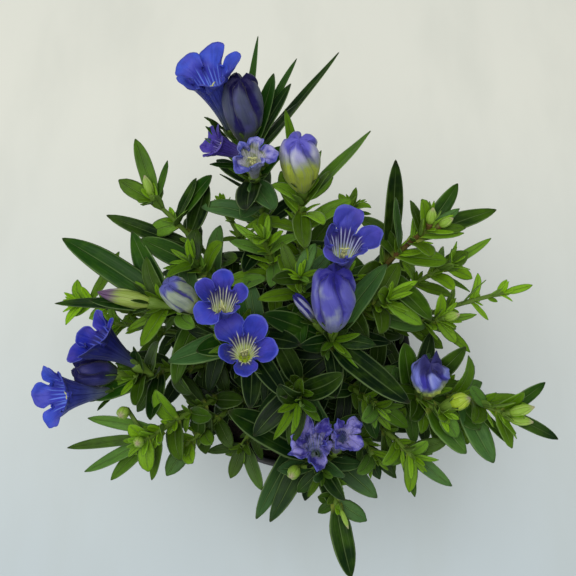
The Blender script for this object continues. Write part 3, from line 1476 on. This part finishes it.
@dataclass
class Shoot:
    """One shoot: a stem with its pedicels and calyxes, and all of its leaves."""

    stem: Stem
    leaves: list[Blades]
    root_radius: float = 1.7
    tip_radius: float = 1.1
    stalk_radius: float = 1.2
    bud_stalk_radius: float = 1.0
    calyx: float = 8.0
    socket: float = 10.0
    sides: int = 10

    def build(self, flowers: list[FlowerPlan], buds: list[FlowerPlan]) -> None:
        """Makes the stem piece and the leaf piece.

        Args:
            flowers: the flowers that this shoot carries.
            buds: the small buds that it carries.
        """
        name = self.stem.plan.name
        stem = Piece(f"stem_{name}")
        marks = {"ruddy": self.stem.plan.ruddy}
        stem.add(self._main(marks))
        sepals = []
        for flower in flowers:
            stem.add(self._stalk(flower, marks))
            sepals.append(self._sepals(flower))
        for bud in buds:
            stem.add(self._bud_stalk(bud, marks))
        stem.finish(StemFinish(), Slot.LEAVES, f"shoot_{name}")
        leaves = Piece(f"leaves_{name}")
        for skin in LeafBuilder().skins(Blades.of(self.leaves + sepals)):
            leaves.add(skin)
        leaves.finish(LeafFinish(), Slot.LEAVES, f"shoot_{name}")

    def _main(self, marks: dict[str, float]) -> Skin:
        """The stem: it starts in the soil, thins to its tip and swells a little at every leaf pair."""
        plan = self.stem.plan
        t = np.linspace(0, 1, 40)
        line = np.concatenate([self.stem.point(0.0)[None] - UP * self.socket, self.stem.point(t)])
        pairs = plan.first + (LAST_PAIR - plan.first) * np.arange(plan.pairs) / (plan.pairs - 1)
        swell = np.exp(-((t[:, None] - pairs[None]) / 0.018) ** 2).sum(1)
        radii = (self.root_radius + (self.tip_radius - self.root_radius) * t) * (1 + 0.22 * swell)
        return tube(line, np.append(self.root_radius, radii), self.sides, marks)

    def _stalk(self, flower: FlowerPlan, marks: dict[str, float]) -> Skin:
        """A pedicel that bends into the flower's axis and widens into the calyx cup.

        The line is a quadratic curve from the stem to 8 mm behind the corolla, then straight to
        1.5 mm inside it.

        Args:
            flower: the flower.
            marks: the stem's marks.

        Returns:
            The stalk's skin.
        """
        axis = flower.axis()
        foot = axis.base - axis.along * self.calyx
        start = self.stem.nearest(foot)
        bend = foot - axis.along * min(6.0, 0.5 * np.linalg.norm(foot - start))
        curve = quadratic(start, bend, foot, np.linspace(0, 1, 10)[:, None])
        straight = foot + axis.along * np.linspace(0.8, self.calyx + 1.5, 9)[:, None]
        thin = self.stalk_radius
        cup = thin + (flower.cup() - thin) * smooth(np.linspace(0.1, 1, 9), 0, 0.8)
        return tube(np.concatenate([curve, straight]), np.append(np.full(10, thin), cup), 12, marks)

    def _bud_stalk(self, bud: FlowerPlan, marks: dict[str, float]) -> Skin:
        """A short thin stalk under a small bud: straight from the stem, then along the bud's axis."""
        axis = bud.axis()
        foot = axis.base - axis.along * 3
        start = self.stem.nearest(foot)
        line = np.concatenate([np.linspace(start, foot, 5), np.linspace(foot, axis.base, 4)[1:]])
        thin = self.bud_stalk_radius
        radii = np.append(np.full(5, thin), np.linspace(thin, bud.radius * 0.7, 4)[1:])
        return tube(line, radii, 8, marks)

    @staticmethod
    def _sepals(flower: FlowerPlan) -> Blades:
        """Five narrow pointed sepals that stand off the calyx cup round the tube."""
        axis = flower.axis()
        draw = Draw(len(flower.name) * 97 + int(flower.length * 13))
        between = lobe_turn(np.arange(LOBES) + 0.5)
        out = axis.out(np.radians(flower.turn + between + [draw.near(0, 8) for _ in between]))
        base = axis.base + axis.along * 1.0 + out * (flower.cup() - 0.4)
        length = flower.length * np.array([draw.near(0.36, 0.07) for _ in between])[:, None]
        middle = base + (axis.along * 0.9 + out * 0.42) * length / 2
        tip = middle + (axis.along * 0.8 + out * 0.62) * length / 2
        same = np.ones(LOBES)
        along = np.repeat(axis.along[None], LOBES, 0)
        return Blades(base, middle, tip, along, same * 2.4, same * 0, same * 0.2, same * 0.3)


@dataclass(frozen=True)
class Axis:
    """A flower's own axes: along its tube, and two square to it."""

    base: Array
    along: Array
    first: Array
    second: Array

    @classmethod
    def of(cls, base: tuple[float, ...], bearing: float, pitch: float) -> "Axis":
        """The axes of a flower that starts at base and points that way."""
        along = heading(bearing, pitch)
        first = unit(np.cross(along, UP))
        return cls(np.array(base, float), along, first, np.cross(first, along))

    def out(self, angle: Array) -> Array:
        """Unit vectors square to the tube, at angles in radians."""
        return self.first * np.cos(angle)[..., None] + self.second * np.sin(angle)[..., None]

    def place(self, rise: Array, radius: Array, angle: Array) -> Array:
        """Points from cylinder coordinates about the axis."""
        return self.base + self.along * rise[..., None] + self.out(angle) * radius[..., None]


def lobe_turn(lobes: Array) -> Array:
    """Degrees round a flower's axis from its first petal's middle to so many petals on."""
    return 360 / LOBES * lobes


@dataclass
class Corolla:
    """An open, half open or withered trumpet: a pleated tube with five petals and five small pleats.

    edge holds the shares of the wall's thickness that the sheet's last rows have.
    """

    plan: FlowerPlan
    wall: float = 0.45
    root: float = 2.2
    notch_from: float = 0.86
    mouth_angle: float = 18.0
    mouth_depth: float = 0.6
    edge: tuple[float, ...] = (0.8, 0.6, 0.3)
    columns: int = 22
    tube_rows: int = 15
    petal_rows: int = 10

    def build(self) -> None:
        """Makes the corolla piece."""
        piece = Piece(f"petals_{self.plan.name}")
        piece.add(self._skin())
        piece.finish(PETALS[self.plan.look], self.plan.petal_slot(), f"corolla_{self.plan.name}")

    def _outline(self, side: Array, lengths: Array) -> Array:
        """How far the rim lies from the mouth at side (0 petal middle, 1 notch).

        With q = side/0.86 a petal is L ((1 - q^2.6)^0.6 + 0.1 (1 - q)^3), and the small pleat in the
        notch is 0.3 of the mean L high.

        Args:
            side: places across the petals.
            lengths: the length L of the petal at each.

        Returns:
            The distances.
        """
        q = np.minimum(side, self.notch_from) / self.notch_from
        petal = lengths * ((1 - q ** 2.6) ** 0.6 + 0.1 * (1 - q) ** 3)
        pleat = lengths.mean() * 0.3 * (1 - 0.5 * np.abs(side - 0.93) / 0.2)
        return np.maximum(petal, pleat)

    def _tube(self, v: Array, side: Array) -> tuple[Array, Array]:
        """The tube's wall.

        At v from root to mouth the radius is 2.2 + (R - 2.2)(0.28v + 0.72v^2), less a pleat of 12% at
        each notch and more by 3% in each petal's middle, with fine creases.

        Args:
            v: places up the tube.
            side: places across the petals.

        Returns:
            Radii and rises (rows, columns).
        """
        radius = self.root + (self.plan.radius - self.root) * (0.28 * v + 0.72 * v * v)
        fold = 1 - 0.12 * v * side ** 5 + 0.03 * v * (1 - side ** 2)
        crease = 1 + 0.018 * v * np.sin(6 * np.pi * side)
        return radius * fold * crease, v * self.plan.length + 0 * side

    def _petals(self, w: Array, side: Array, reach: Array, lasts: Array) -> tuple[Array, Array]:
        """The petals, from the mouth on.

        A point goes on by the angle a out of the axis: the radius grows by sin a and the rise by
        cos a of each step, and a turns from the tube's own slope to the petal's last angle. The
        margins cup inwards first and roll back at the edge.

        Args:
            w: places from the mouth to the rim.
            side: places across the petals.
            reach: how far the rim is from the mouth.
            lasts: the petal's last angle.

        Returns:
            How much radius and rise they add to the mouth's.
        """
        length = self.plan.limb.length
        steps = np.diff(np.concatenate([[[0.0]], w]), axis=0) * reach
        bent = smooth(w * reach / length, -0.15, 0.75)
        lasting = lasts * (1 - 0.25 * side ** 2) + self.mouth_angle * 0.25 * side ** 2
        out = np.radians(self.mouth_angle + (lasting - self.mouth_angle) * bent)
        cup = 0.1 * length * (w * (1 - w) * 2 - w ** 2 * 1.1) * (side / 0.8) ** 2
        return (np.cumsum(np.sin(out) * steps, axis=0) + cup * np.cos(out),
                np.cumsum(np.cos(out) * steps, axis=0) - cup * np.sin(out))

    def _skin(self) -> Skin:
        """The tube wall and petals as one sheet, out and back again a wall's thickness inside.

        A petal grows up to 45% wider than its fifth, and one margin lies over the next petal. Each
        petal has its own length, last angle and tilt, and sums of sines crumple the loose end.

        Returns:
            The skin, with x round it and y along.
        """
        plan, limb = self.plan, self.plan.limb
        draw = Draw(300 + 17 * len(plan.name) + int(plan.length * 7))
        sweep = np.linspace(-1, 1, self.columns, endpoint=False)
        local = np.tile(np.sign(sweep) * np.abs(sweep) ** 0.8, LOBES)
        lobe = np.repeat(np.arange(LOBES), self.columns)
        side = np.abs(local)
        lengths = np.array([limb.length * draw.near(1, 0.12) for _ in range(LOBES)])[lobe]
        lasts = np.array([draw.near(limb.flare, limb.uneven) for _ in range(LOBES)])[lobe]
        tilts = np.array([draw.near(0, 0.16) for _ in range(LOBES)])[lobe]

        v = np.linspace(0, 1, self.tube_rows)[:, None]
        w = np.linspace(0, 1, self.petal_rows + 1)[1:, None]
        reach = self._outline(side, lengths)
        tube_radius, tube_rise = self._tube(v, side)
        wider, higher = self._petals(w, side, reach, lasts)
        rise = np.concatenate([tube_rise, plan.length + higher])
        spread = np.concatenate([tube_radius, tube_radius[-1] + wider])
        depth = np.concatenate([v * self.mouth_depth + 0 * side,
                                self.mouth_depth + (1 - self.mouth_depth) * w + 0 * side])
        rim = np.concatenate([0 * tube_rise, w + 0 * side])
        gone = np.concatenate([0 * tube_rise, w * reach / limb.length])

        wide = 1 + 0.45 * smooth(gone, 0.12, 0.7)
        angle = math.radians(plan.turn) + np.radians(lobe_turn(lobe + local / 2 * wide))
        rise = rise + 0.13 * limb.length * local * smooth(gone, 0.15, 0.8)
        loose = smooth(depth, 0.35, 1.0)
        rough = limb.crumple * loose
        spread = spread + rough * (ripples(3 * angle, 9 * depth, draw, 6, 2.2)
                                   + 0.5 * ripples(7 * angle, 16 * depth, draw, 5, 2.5))
        rise = rise + rough * ripples(4 * angle, 8 * depth, draw, 6, 2.4)
        swing = angle + loose * tilts + 0.02 * rough * ripples(5 * angle, 7 * depth, draw, 4, 2)
        outer = plan.axis().place(rise, np.maximum(spread, 0.4), swing)

        points = self._folded(outer, self._inner(outer))
        columns = np.append((lobe + (local + 1) / 2) / LOBES, 1.0)
        places = grid(self._folded(depth, depth)[:, 0], columns)[..., ::-1]
        marks = {"inside": self._folded(0 * depth, 0 * depth + 1)[None],
                 "rim": self._folded(rim, rim)[None]}
        return Skin(points[None], places, marks)

    @staticmethod
    def _folded(outer: Array, inner: Array) -> Array:
        """The outer rows from root to edge, and the inner ones back to near the root."""
        return np.concatenate([outer, inner[::-1][:-2]])

    def _inner(self, outer: Array) -> Array:
        """The sheet moved inwards by the wall, less towards the petals' edge.

        The direction is the cross product of the steps round and along the sheet.

        Args:
            outer: points of the outer side.

        Returns:
            Points of the inner side.
        """
        around = np.roll(outer, -1, axis=1) - np.roll(outer, 1, axis=1)
        normal = np.cross(around, np.gradient(outer, axis=0))
        normal /= np.maximum(np.linalg.norm(normal, axis=-1, keepdims=True), 1e-9)
        from_axis = outer - outer.mean(axis=1, keepdims=True)
        if (from_axis[: self.tube_rows] * normal[: self.tube_rows]).sum() > 0:
            normal = -normal
        thin = np.ones(len(outer))
        thin[-len(self.edge):] = self.edge
        return outer + normal * (self.wall * thin)[:, None, None]


@dataclass
class Barrel:
    """A closed flower: a ribbed barrel whose five petals fold and twist into a star at the tip."""

    plan: FlowerPlan
    columns: int = 16
    rows: int = 34

    heights = (0, 0.04, 0.15, 0.3, 0.5, 0.65, 0.8, 0.9, 0.96, 1.0)
    bud_belly = (0.45, 0.6, 0.85, 1.0, 1.0, 0.92, 0.66, 0.4, 0.22, 0.06)
    flower_belly = (0.3, 0.42, 0.66, 0.88, 1.0, 1.0, 0.93, 0.78, 0.6, 0.34)

    def build(self) -> None:
        """Makes the closed flower's piece."""
        plan = self.plan
        bud = plan.kind is Kind.BUD
        piece = Piece(f"green_{plan.name}" if bud else f"petals_{plan.name}")
        piece.add(self.skin())
        slot = Slot.BUD if bud else plan.petal_slot()
        piece.finish(PETALS[plan.look], slot, f"{'bud' if bud else 'corolla'}_{plan.name}")

    def skin(self) -> Skin:
        """The barrel's skin.

        At the height s the radius is R times a curve through root, belly and shoulder; each notch
        cuts in by a share that deepens to the tip, and one edge of each petal stands over the next.
        Sums of sines dent it, and a crumpled flower has fine wrinkles as well. The ribs wander, and
        towards the tip the whole turns by up to 30 degrees. At the tip the sheet dips back in as a
        small star, and a crumpled flower's petals end there in points of their own height.

        Returns:
            The skin, with x round it and y along.
        """
        plan = self.plan
        draw = Draw(700 + 31 * len(plan.name) + int(plan.length * 3))
        bud = plan.kind is Kind.BUD
        s = np.linspace(0, 1, self.rows)
        belly = np.interp(s, self.heights, self.bud_belly if bud else self.flower_belly)
        belly = np.convolve(np.pad(belly, 1, mode="edge"), [0.25, 0.5, 0.25], "valid")[:, None]
        local = np.tile(np.linspace(-1, 1, self.columns, endpoint=False), LOBES)[None]
        lobe = np.repeat(np.arange(LOBES), self.columns)[None]
        side = np.abs(local)
        s = s[:, None]
        notch = (0.1 + 0.28 * smooth(s, 0.45, 1.0)) * np.exp(-((1 - side) / 0.25) ** 2)
        overlap = 0.1 * smooth(s, 0.2, 0.9) * local
        if bud:
            notch = notch * 0.35
        radius = plan.radius * belly * (1 - notch + overlap)
        rough = 1 + 2.5 * plan.limb.crumple * smooth(s, 0.3, 0.9)
        radius = radius * (1 + 0.05 * rough * ripples(local * 2 + lobe * 9, s * 9, draw, 6, 2.0))
        fine = ripples(local * 5 + lobe * 7, s * 14, draw, 8, 2.5)
        radius = radius * (1 + 0.075 * plan.limb.crumple * fine)
        rise = s * plan.length * (1 - 0.02 * side) + 0 * local
        angle = math.radians(plan.turn) + np.radians(lobe_turn(lobe + local / 2))
        angle = angle + math.radians(15 if bud else 30) * smooth(s, 0.45, 1.0)
        drift = ripples(lobe * 5, s * 5, draw, 4, 2.0)
        angle = angle + (0.0 if bud else 0.12) * smooth(s, 0.1, 0.5) * drift
        points_up = plan.limb.crumple * np.array([draw.near(1.8, 2.6) for _ in range(LOBES)])[lobe]
        rise = rise + points_up * (1 - side) ** 1.5 * smooth(s, 0.86, 1.0)
        if not bud:
            dip = smooth(s, 0.9, 1.0)
            rise = rise - dip * plan.radius * 0.32 * (0.3 + 0.7 * side)
        points = plan.axis().place(rise, radius, angle)
        columns = np.append((lobe[0] + (local[0] + 1) / 2) / LOBES, 1.0)
        return Skin(points[None], grid(s[:, 0], columns)[..., ::-1])


@dataclass
class Stamens:
    """Five filaments with anthers set round a style that ends in a two-lobed stigma.

    Each reaches from and to a share of the tube's length.
    """

    plan: FlowerPlan
    node: bool
    filament_from: float = 0.3
    filament_to: float = 0.8
    style_to: float = 0.88

    def build(self) -> None:
        """Makes the stamen piece."""
        plan, axis = self.plan, self.plan.axis()
        piece = Piece(f"stamens_{plan.name}")
        start, end = plan.length * self.filament_from, plan.length * self.filament_to
        t = np.linspace(0, 1, 12)
        anther = np.exp(-((t - 0.86) / 0.1) ** 2)
        for number in range(LOBES):
            turn = np.radians(plan.turn + lobe_turn(number + 0.5)) + 0 * t
            line = axis.place(start + (end - start) * t, 2.0 - 1.1 * t, turn)
            piece.add(tube(line, 0.32 + 0.5 * anther, 6, {"tone": anther[:, None]}))
        style = axis.place(start + (plan.length * self.style_to - start) * t, 0 * t, 0 * t)
        piece.add(tube(style, 0.75 - 0.2 * t, 8, {"tone": 0.0}))
        curl = np.linspace(0, 1, 7)
        for way in (0.0, math.pi):
            rise = plan.length * (self.style_to - 0.01) + 1.6 * np.sin(curl * 2.0)
            line = axis.place(rise, 1.5 * (1 - np.cos(curl * 2.0)), way + 0 * curl)
            piece.add(tube(line, 0.5 - 0.25 * curl, 6, {"tone": 0.0}))
        nodes = [f"stamens_{plan.name}"] if self.node else []
        piece.finish(StamenFinish(), Slot.STAMENS, *nodes)


@dataclass
class SmallBuds:
    """The small round buds that the shoots carry, one piece for each shoot."""

    buds: tuple[FlowerPlan, ...]

    def build(self) -> None:
        """Makes the pieces."""
        for shoot in sorted({bud.shoot for bud in self.buds}):
            piece = Piece(f"buds_{shoot}")
            for bud in on_shoot(self.buds, shoot):
                piece.add(Barrel(bud, columns=6, rows=14).skin())
            piece.finish(FRESH_BUD, Slot.LEAVES, f"shoot_{shoot}")


def on_shoot(flowers: tuple[FlowerPlan, ...], shoot: str) -> list[FlowerPlan]:
    """The flowers that a shoot carries."""
    return [flower for flower in flowers if flower.shoot == shoot]


def rounded(corners: list[tuple[float, float, float]], steps: int = 5) -> Array:
    """An outline with each corner rounded by a quadratic curve.

    Args:
        corners: (radius from the axis, height, rounding) in order.
        steps: points on a curve.

    Returns:
        Points (places, 2).
    """
    points = np.array([corner[:2] for corner in corners], float)
    out = [points[0]]
    for i in range(1, len(points) - 1):
        size = corners[i][2]
        if size == 0:
            out.append(points[i])
            continue
        back, ahead = points[i - 1] - points[i], points[i + 1] - points[i]
        start = points[i] + back / np.linalg.norm(back) * min(size, 0.45 * np.linalg.norm(back))
        end = points[i] + ahead / np.linalg.norm(ahead) * min(size, 0.45 * np.linalg.norm(ahead))
        out.extend(quadratic(start, points[i], end, np.linspace(0, 1, steps)[:, None]))
    out.append(points[-1])
    return np.array(out)


def lathe(outline: Array, sides: int) -> Skin:
    """A turned body: (r cos a, r sin a, z), whose outline starts and ends on the axis.

    Args:
        outline: radii and heights (places, 2).
        sides: how many sides it has.

    Returns:
        The skin, with x round it and y along.
    """
    a = np.linspace(0, 2 * np.pi, sides, endpoint=False)
    radius, rise = outline[1:-1, :1], outline[1:-1, 1:]
    points = np.stack([radius * np.cos(a), radius * np.sin(a), rise + 0 * a], -1)[None]
    poles = np.array([[[0, 0, outline[0, 1]], [0, 0, outline[-1, 1]]]])
    places = grid(np.linspace(0, 1, len(radius)), np.linspace(0, 1, sides + 1))
    return Skin(points, places[..., ::-1], {}, poles)


@dataclass
class Pot:
    """Round nursery pot: tapered wall, collar with a rolled lip, foot ring and drain holes."""

    height: float
    rim: float
    base: float = 46.0
    wall: float = 1.6
    floor: float = 2.0
    collar: float = 14.0
    step: float = 2.0
    lip: float = 1.8
    sides: int = 128
    drains: int = 6
    drain_radius: float = 4.0
    drain_ring: float = 30.0

    def outer(self, z: float) -> float:
        """The tapered wall's outer radius at a height."""
        slope = (self.rim - self.lip - self.step - self.base) / (self.height - self.collar)
        return self.base + slope * z

    def build(self) -> None:
        """Turns the wall and cuts the drain holes."""
        collar, face, top = self.height - self.collar, self.rim - self.lip, self.height
        outline = rounded([
            (0, 0.8, 0), (38, 0.8, 0.4), (39, 0, 0.4), (self.base - 1.5, 0, 1.2),
            (self.outer(2.4), 2.4, 1.2), (self.outer(collar), collar, 0.6),
            (face, collar + 1.2, 0.8), (face, top - 3.6, 0.4), (self.rim, top - 3.1, 0.5),
            (self.rim, top, 1.1), (face - self.wall, top, 0.9), (face - self.wall, collar + 1, 0.8),
            (self.outer(collar - 1.5) - self.wall, collar - 1.5, 0.8),
            (self.outer(self.floor) - self.wall, self.floor, 1.5), (0, self.floor, 0)])
        piece = Piece("black_pot")
        piece.add(lathe(outline, self.sides))
        pot = piece.finish(PotFinish(), Slot.POT, "pot")
        self._drill(pot)

    def _drill(self, pot: bpy.types.Object) -> None:
        """Cuts the round holes out of the floor plate."""
        cutter = Piece("drains")
        low, high = -3.0, self.floor + 0.25
        outline = np.array([(0, low), (self.drain_radius, low), (self.drain_radius, high), (0, high)])
        for number in range(self.drains):
            skin = lathe(outline, 32)
            turn = 2 * math.pi * number / self.drains
            aside = np.array([math.cos(turn), math.sin(turn), 0]) * self.drain_ring
            skin.points, skin.poles = skin.points + aside, skin.poles + aside
            cutter.add(skin)
        tool = cutter.finish(PotFinish(), Slot.POT)
        cut = pot.modifiers.new("drains", "BOOLEAN")
        cut.operation, cut.object, cut.solver = "DIFFERENCE", tool, "EXACT"
        shaped = pot.evaluated_get(bpy.context.evaluated_depsgraph_get())
        pot.data = bpy.data.meshes.new_from_object(shaped)
        pot.modifiers.clear()
        bpy.data.objects.remove(tool)
        LOG.info("pot drilled: %d faces", len(pot.data.polygons))


@dataclass
class Soil:
    """Potting soil: a lumpy plug, strewn with crumbs, bark chips and a few pale grains."""

    pot: Pot
    top: float = 100.0
    mound: float = 2.5
    spare: float = 1.9
    crumbs: int = 520
    strewn: float = 57.0
    keep_clear: float = 2.6
    rings: int = 4
    sides: int = 6

    def build(self, feet: Array) -> None:
        """Makes the plug and the crumbs.

        Args:
            feet: where stems stand, which the crumbs keep clear of.
        """
        piece = Piece("soil_plug")
        piece.add(self._plug())
        piece.finish(SoilFinish(), Slot.SOIL, "soil")
        strewn = Piece("soil_crumbs")
        strewn.add(self._crumbs(feet))
        strewn.finish(SoilFinish(), Slot.SOIL, "soil")

    def _height(self, x: Array, y: Array) -> Array:
        """The soil's top: a low mound with lumps that are sums of sines."""
        r = np.hypot(x, y)
        lumps = ripples(x, y, Draw(41), 14, 0.55) * 1.6 + ripples(x, y, Draw(43), 10, 1.6) * 0.7
        return self.top + self.mound * (1 - smooth(r, 25, 56)) + lumps

    def _plug(self) -> Skin:
        """Straight sides inside the pot's wall and a lumpy top."""
        low, high = self.pot.floor + 0.3, self.pot.height - self.pot.collar - 2
        edge = self.pot.outer(high) - self.spare
        side = [(0.0, low), (self.pot.outer(low) - self.spare, low), (edge, high)]
        tops = [(r, self.top) for r in np.linspace(edge, 0, 34)]
        skin = lathe(np.array(side + tops), 110)
        x, y = skin.points[..., 0], skin.points[..., 1]
        skin.points[:, 2:, :, 2] = self._height(x, y)[:, 2:]
        skin.poles[0, 1, 2] = self._height(np.zeros(1), np.zeros(1))[0]
        skin.marks["tone"] = 0.3 + 0.25 * ripples(x, y, Draw(47), 10, 0.9)
        return skin

    def _crumbs(self, feet: Array) -> Skin:
        """Lumps: stretched balls of four rings and six sides with an uneven radius."""
        rng = np.random.default_rng(11)
        r = self.strewn * np.sqrt(rng.random(self.crumbs))
        turn = rng.random(self.crumbs) * 2 * np.pi
        centre = np.stack([r * np.cos(turn), r * np.sin(turn)], -1)
        gaps = np.linalg.norm(centre[:, None] - feet[None, :, :2], axis=-1).min(1)
        centre = centre[gaps > self.keep_clear]
        count = len(centre)
        size = 0.7 + 2.2 * rng.random((count, 1, 1)) ** 3
        polar = np.linspace(0.45, np.pi - 0.45, self.rings)[None, :, None]
        around = np.linspace(0, 2 * np.pi, self.sides, endpoint=False)[None, None]
        radius = size * (0.75 + 0.5 * rng.random((count, self.rings, self.sides)))
        flat = radius * np.sin(polar)
        body = np.stack([flat * np.cos(around), flat * np.sin(around), radius * np.cos(polar)], -1)
        body *= 0.55 + 0.9 * rng.random((count, 1, 1, 3))
        lie = self._height(centre[:, 0], centre[:, 1]) + size[:, 0, 0] * 0.3
        body += np.concatenate([centre, lie[:, None]], 1)[:, None, None]
        tone = rng.random((count, 1, 1)) ** 1.4
        return Skin(body, np.zeros((self.rings, self.sides + 1, 2)), {"tone": tone})


class Studio:
    """Floor, camera and lights."""

    camera_place = (-5.75, -113.5, 511.9)
    pitch_down = 69.0
    lens = 45.0
    sensor = 36.0
    floor_half = 4.0
    sky = (0.97, 0.98, 1.0, 1.0)
    sky_strength = 0.32

    def build(self) -> None:
        """Sets the stage."""
        self._floor()
        self._camera()
        self._lights()

    def _floor(self) -> None:
        """A wide pale floor, in metres, that the pot stands on."""
        mesh = bpy.data.meshes.new("floor")
        half = self.floor_half
        corners = [(-half, -half, 0), (half, -half, 0), (half, half, 0), (-half, half, 0)]
        mesh.from_pydata(corners, [], [(0, 1, 2, 3)])
        mesh.materials.append(FloorFinish().material())
        put("floor", mesh)

    def _camera(self) -> None:
        """Above and in front of the plant, looking steeply down."""
        data = bpy.data.cameras.new("camera")
        data.lens = self.lens
        data.sensor_width = self.sensor
        data.clip_start = 0.01
        camera = put("camera", data)
        camera.location = [c * MM for c in self.camera_place]
        camera.rotation_euler = (math.radians(90 - self.pitch_down), 0, 0)
        bpy.context.scene.camera = camera

    @staticmethod
    def _lamp(name: str, place: tuple, aim: tuple, size: float, power: float, tint: tuple) -> None:
        """A square soft light at place, in metres and watts, that faces aim."""
        data = bpy.data.lights.new(name, "AREA")
        data.size, data.energy, data.color = size, power, tint
        lamp = put(name, data)
        lamp.location = place
        way = Vector(aim) - Vector(place)
        lamp.rotation_euler = way.to_track_quat("-Z", "Y").to_euler()

    def _lights(self) -> None:
        """Soft daylight from a wide window high up at the front left, and an even sky."""
        self._lamp("window", (-0.45, -0.45, 2.4), (0, 0, 0.1), 2.2, 54, (1.0, 0.985, 0.95))
        world = bpy.data.worlds.new("sky")
        world.use_nodes = True
        background = world.node_tree.nodes["Background"]
        background.inputs["Color"].default_value = self.sky
        background.inputs["Strength"].default_value = self.sky_strength
        bpy.context.scene.world = world
        bpy.context.scene.view_settings.view_transform = "Standard"


def main() -> None:
    """Builds every piece in order."""
    logging.basicConfig(level=logging.INFO, format="%(message)s")
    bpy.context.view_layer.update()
    Studio().build()
    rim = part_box("pot")[1]
    pot = Pot(height=rim[2] / MM, rim=rim[0] / MM)
    pot.build()
    stems = Crown().grow(SHOOTS)
    Soil(pot).build(np.array([stem.foot for stem in stems]))
    leaves = Foliage(stems, FLOWERS).grow()
    LOG.info("leaves: %d", sum(len(rows) for rows in leaves.values()))
    for stem in stems:
        name = stem.plan.name
        Shoot(stem, leaves[name]).build(on_shoot(FLOWERS, name), on_shoot(SMALL_BUDS, name))
    for flower in FLOWERS:
        if flower.kind in (Kind.CLOSED, Kind.BUD):
            Barrel(flower).build()
        else:
            Corolla(flower).build()
    for flower in FLOWERS:
        if flower.kind in (Kind.OPEN, Kind.HALF):
            Stamens(flower, f"stamens_{flower.name}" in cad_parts).build()
    SmallBuds(SMALL_BUDS).build()


if __name__ == "__main__":
    main()
